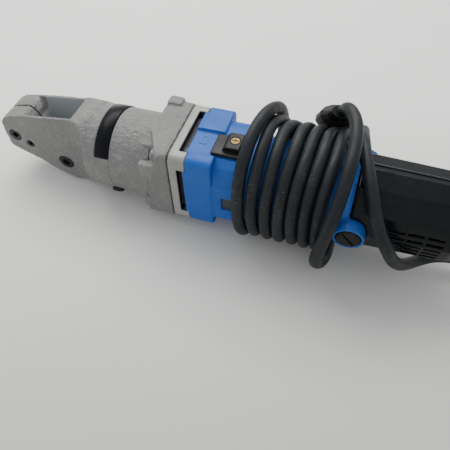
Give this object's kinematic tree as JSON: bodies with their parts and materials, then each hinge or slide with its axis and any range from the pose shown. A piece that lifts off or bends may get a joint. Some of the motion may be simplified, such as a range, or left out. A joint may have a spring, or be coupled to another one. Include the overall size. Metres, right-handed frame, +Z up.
{
  "type": "rebar cutter",
  "caption": "Corded in-line electro-hydraulic rebar cutter: closed shear head with a ram blade, hydraulic casting, grinder-type motor with slide switch, lead wound round the housing.",
  "frame": {"origin": "middle of the tool's own bounding box, on the ram and motor axis, without its cord and plug", "axes": "+X along the tool from the cutting head to the cord guard, +Y to the far side of the slide switch, +Z up through the switch"},
  "size_m": [0.533, 0.1443, 0.1316],
  "materials": {
    "silver": "silver paint over a rough casting",
    "band": "glossy black",
    "tool_steel": "ground",
    "black_screw": "black oxide",
    "ground_steel": "ground",
    "bronze": "sintered bronze",
    "black_rubber": "matt",
    "pale_housing": "machined pale casting",
    "black_plastic": "fine moulded texture",
    "blue_housing": "satin moulded blue",
    "lamination": "stacked sheet",
    "copper": "bare copper",
    "brass": "bright",
    "carbon": "graphite",
    "cord": "matt, scuffed",
    "plated_pin": "nickel plated"
  },
  "bodies": {
    "tool_body": {"head_casting": "silver", "pump_casting": "silver", "collar_band": "band", "fixed_blade": "tool_steel", "nose_clamp_screw": "black_screw", "blade_set_screw": "black_screw", "guide_screw": "black_screw", "flange_bolt_1": "silver", "flange_bolt_2": "silver", "flange_bolt_3": "silver", "flange_bolt_4": "silver", "return_spring": "ground_steel", "pump_plunger": "ground_steel", "plunger_spring": "ground_steel", "front_bearing": "ground_steel", "rear_bearing": "ground_steel", "eccentric_bearing": "bronze", "flange_gasket": "black_rubber", "cord_guard": "black_rubber", "plug_body": "black_rubber", "gear_housing": "pale_housing", "fan_shroud": "black_plastic", "brush_cap_near": "black_plastic", "brush_cap_far": "black_plastic", "switch_body": "black_plastic", "tail_housing": "black_plastic", "motor_housing": "blue_housing", "stator": "lamination", "brush_holder_near": "brass", "brush_holder_far": "brass", "carbon_brush_near": "carbon", "carbon_brush_far": "carbon", "cord_lead": "cord", "cord_end": "cord", "cord_coil": "cord", "plug_pin_1": "plated_pin", "plug_pin_2": "plated_pin"},
    "ram": {"ram": "ground_steel", "piston_seal": "black_rubber", "moving_blade": "tool_steel", "moving_blade_screw": "black_screw"},
    "armature": {"armature_shaft": "ground_steel", "armature_core": "lamination", "commutator": "copper", "cooling_fan": "black_plastic"},
    "eccentric": {"eccentric_shaft": "ground_steel", "drive_gear": "ground_steel"},
    "switch": {"switch_knob": "black_plastic", "switch_screw": "brass", "switch_rod": "ground_steel"},
    "release_valve": {"release_valve_knob": "black_screw"}
  },
  "joints": [
    {"name": "ram_slide", "type": "slide", "parent": "tool_body", "child": "ram", "axis": [-1, 0, 0], "range_m": [0, 0.0215], "stiffness_N_per_m": 2500, "springref_m": -0.008, "deforming": ["return_spring"]},
    {"name": "armature_spin", "type": "hinge", "parent": "tool_body", "child": "armature", "pos_m": [0.009, 0, 0], "axis": [1, 0, 0], "continuous": true},
    {"name": "eccentric_spin", "type": "hinge", "parent": "tool_body", "child": "eccentric", "pos_m": [-0.071, 0, -0.02], "axis": [1, 0, 0], "continuous": true},
    {"name": "switch_slide", "type": "slide", "parent": "tool_body", "child": "switch", "axis": [-1, 0, 0], "range_m": [0, 0.007]},
    {"name": "release_valve_turn", "type": "hinge", "parent": "tool_body", "child": "release_valve", "pos_m": [-0.117, -0.027, -0.0322], "axis": [0, -0.6428, -0.766], "range_deg": [0, 90]}
  ],
  "couplings": [
    {"joint": "eccentric_spin", "follows": "armature_spin", "ratio": -0.25}
  ]
}
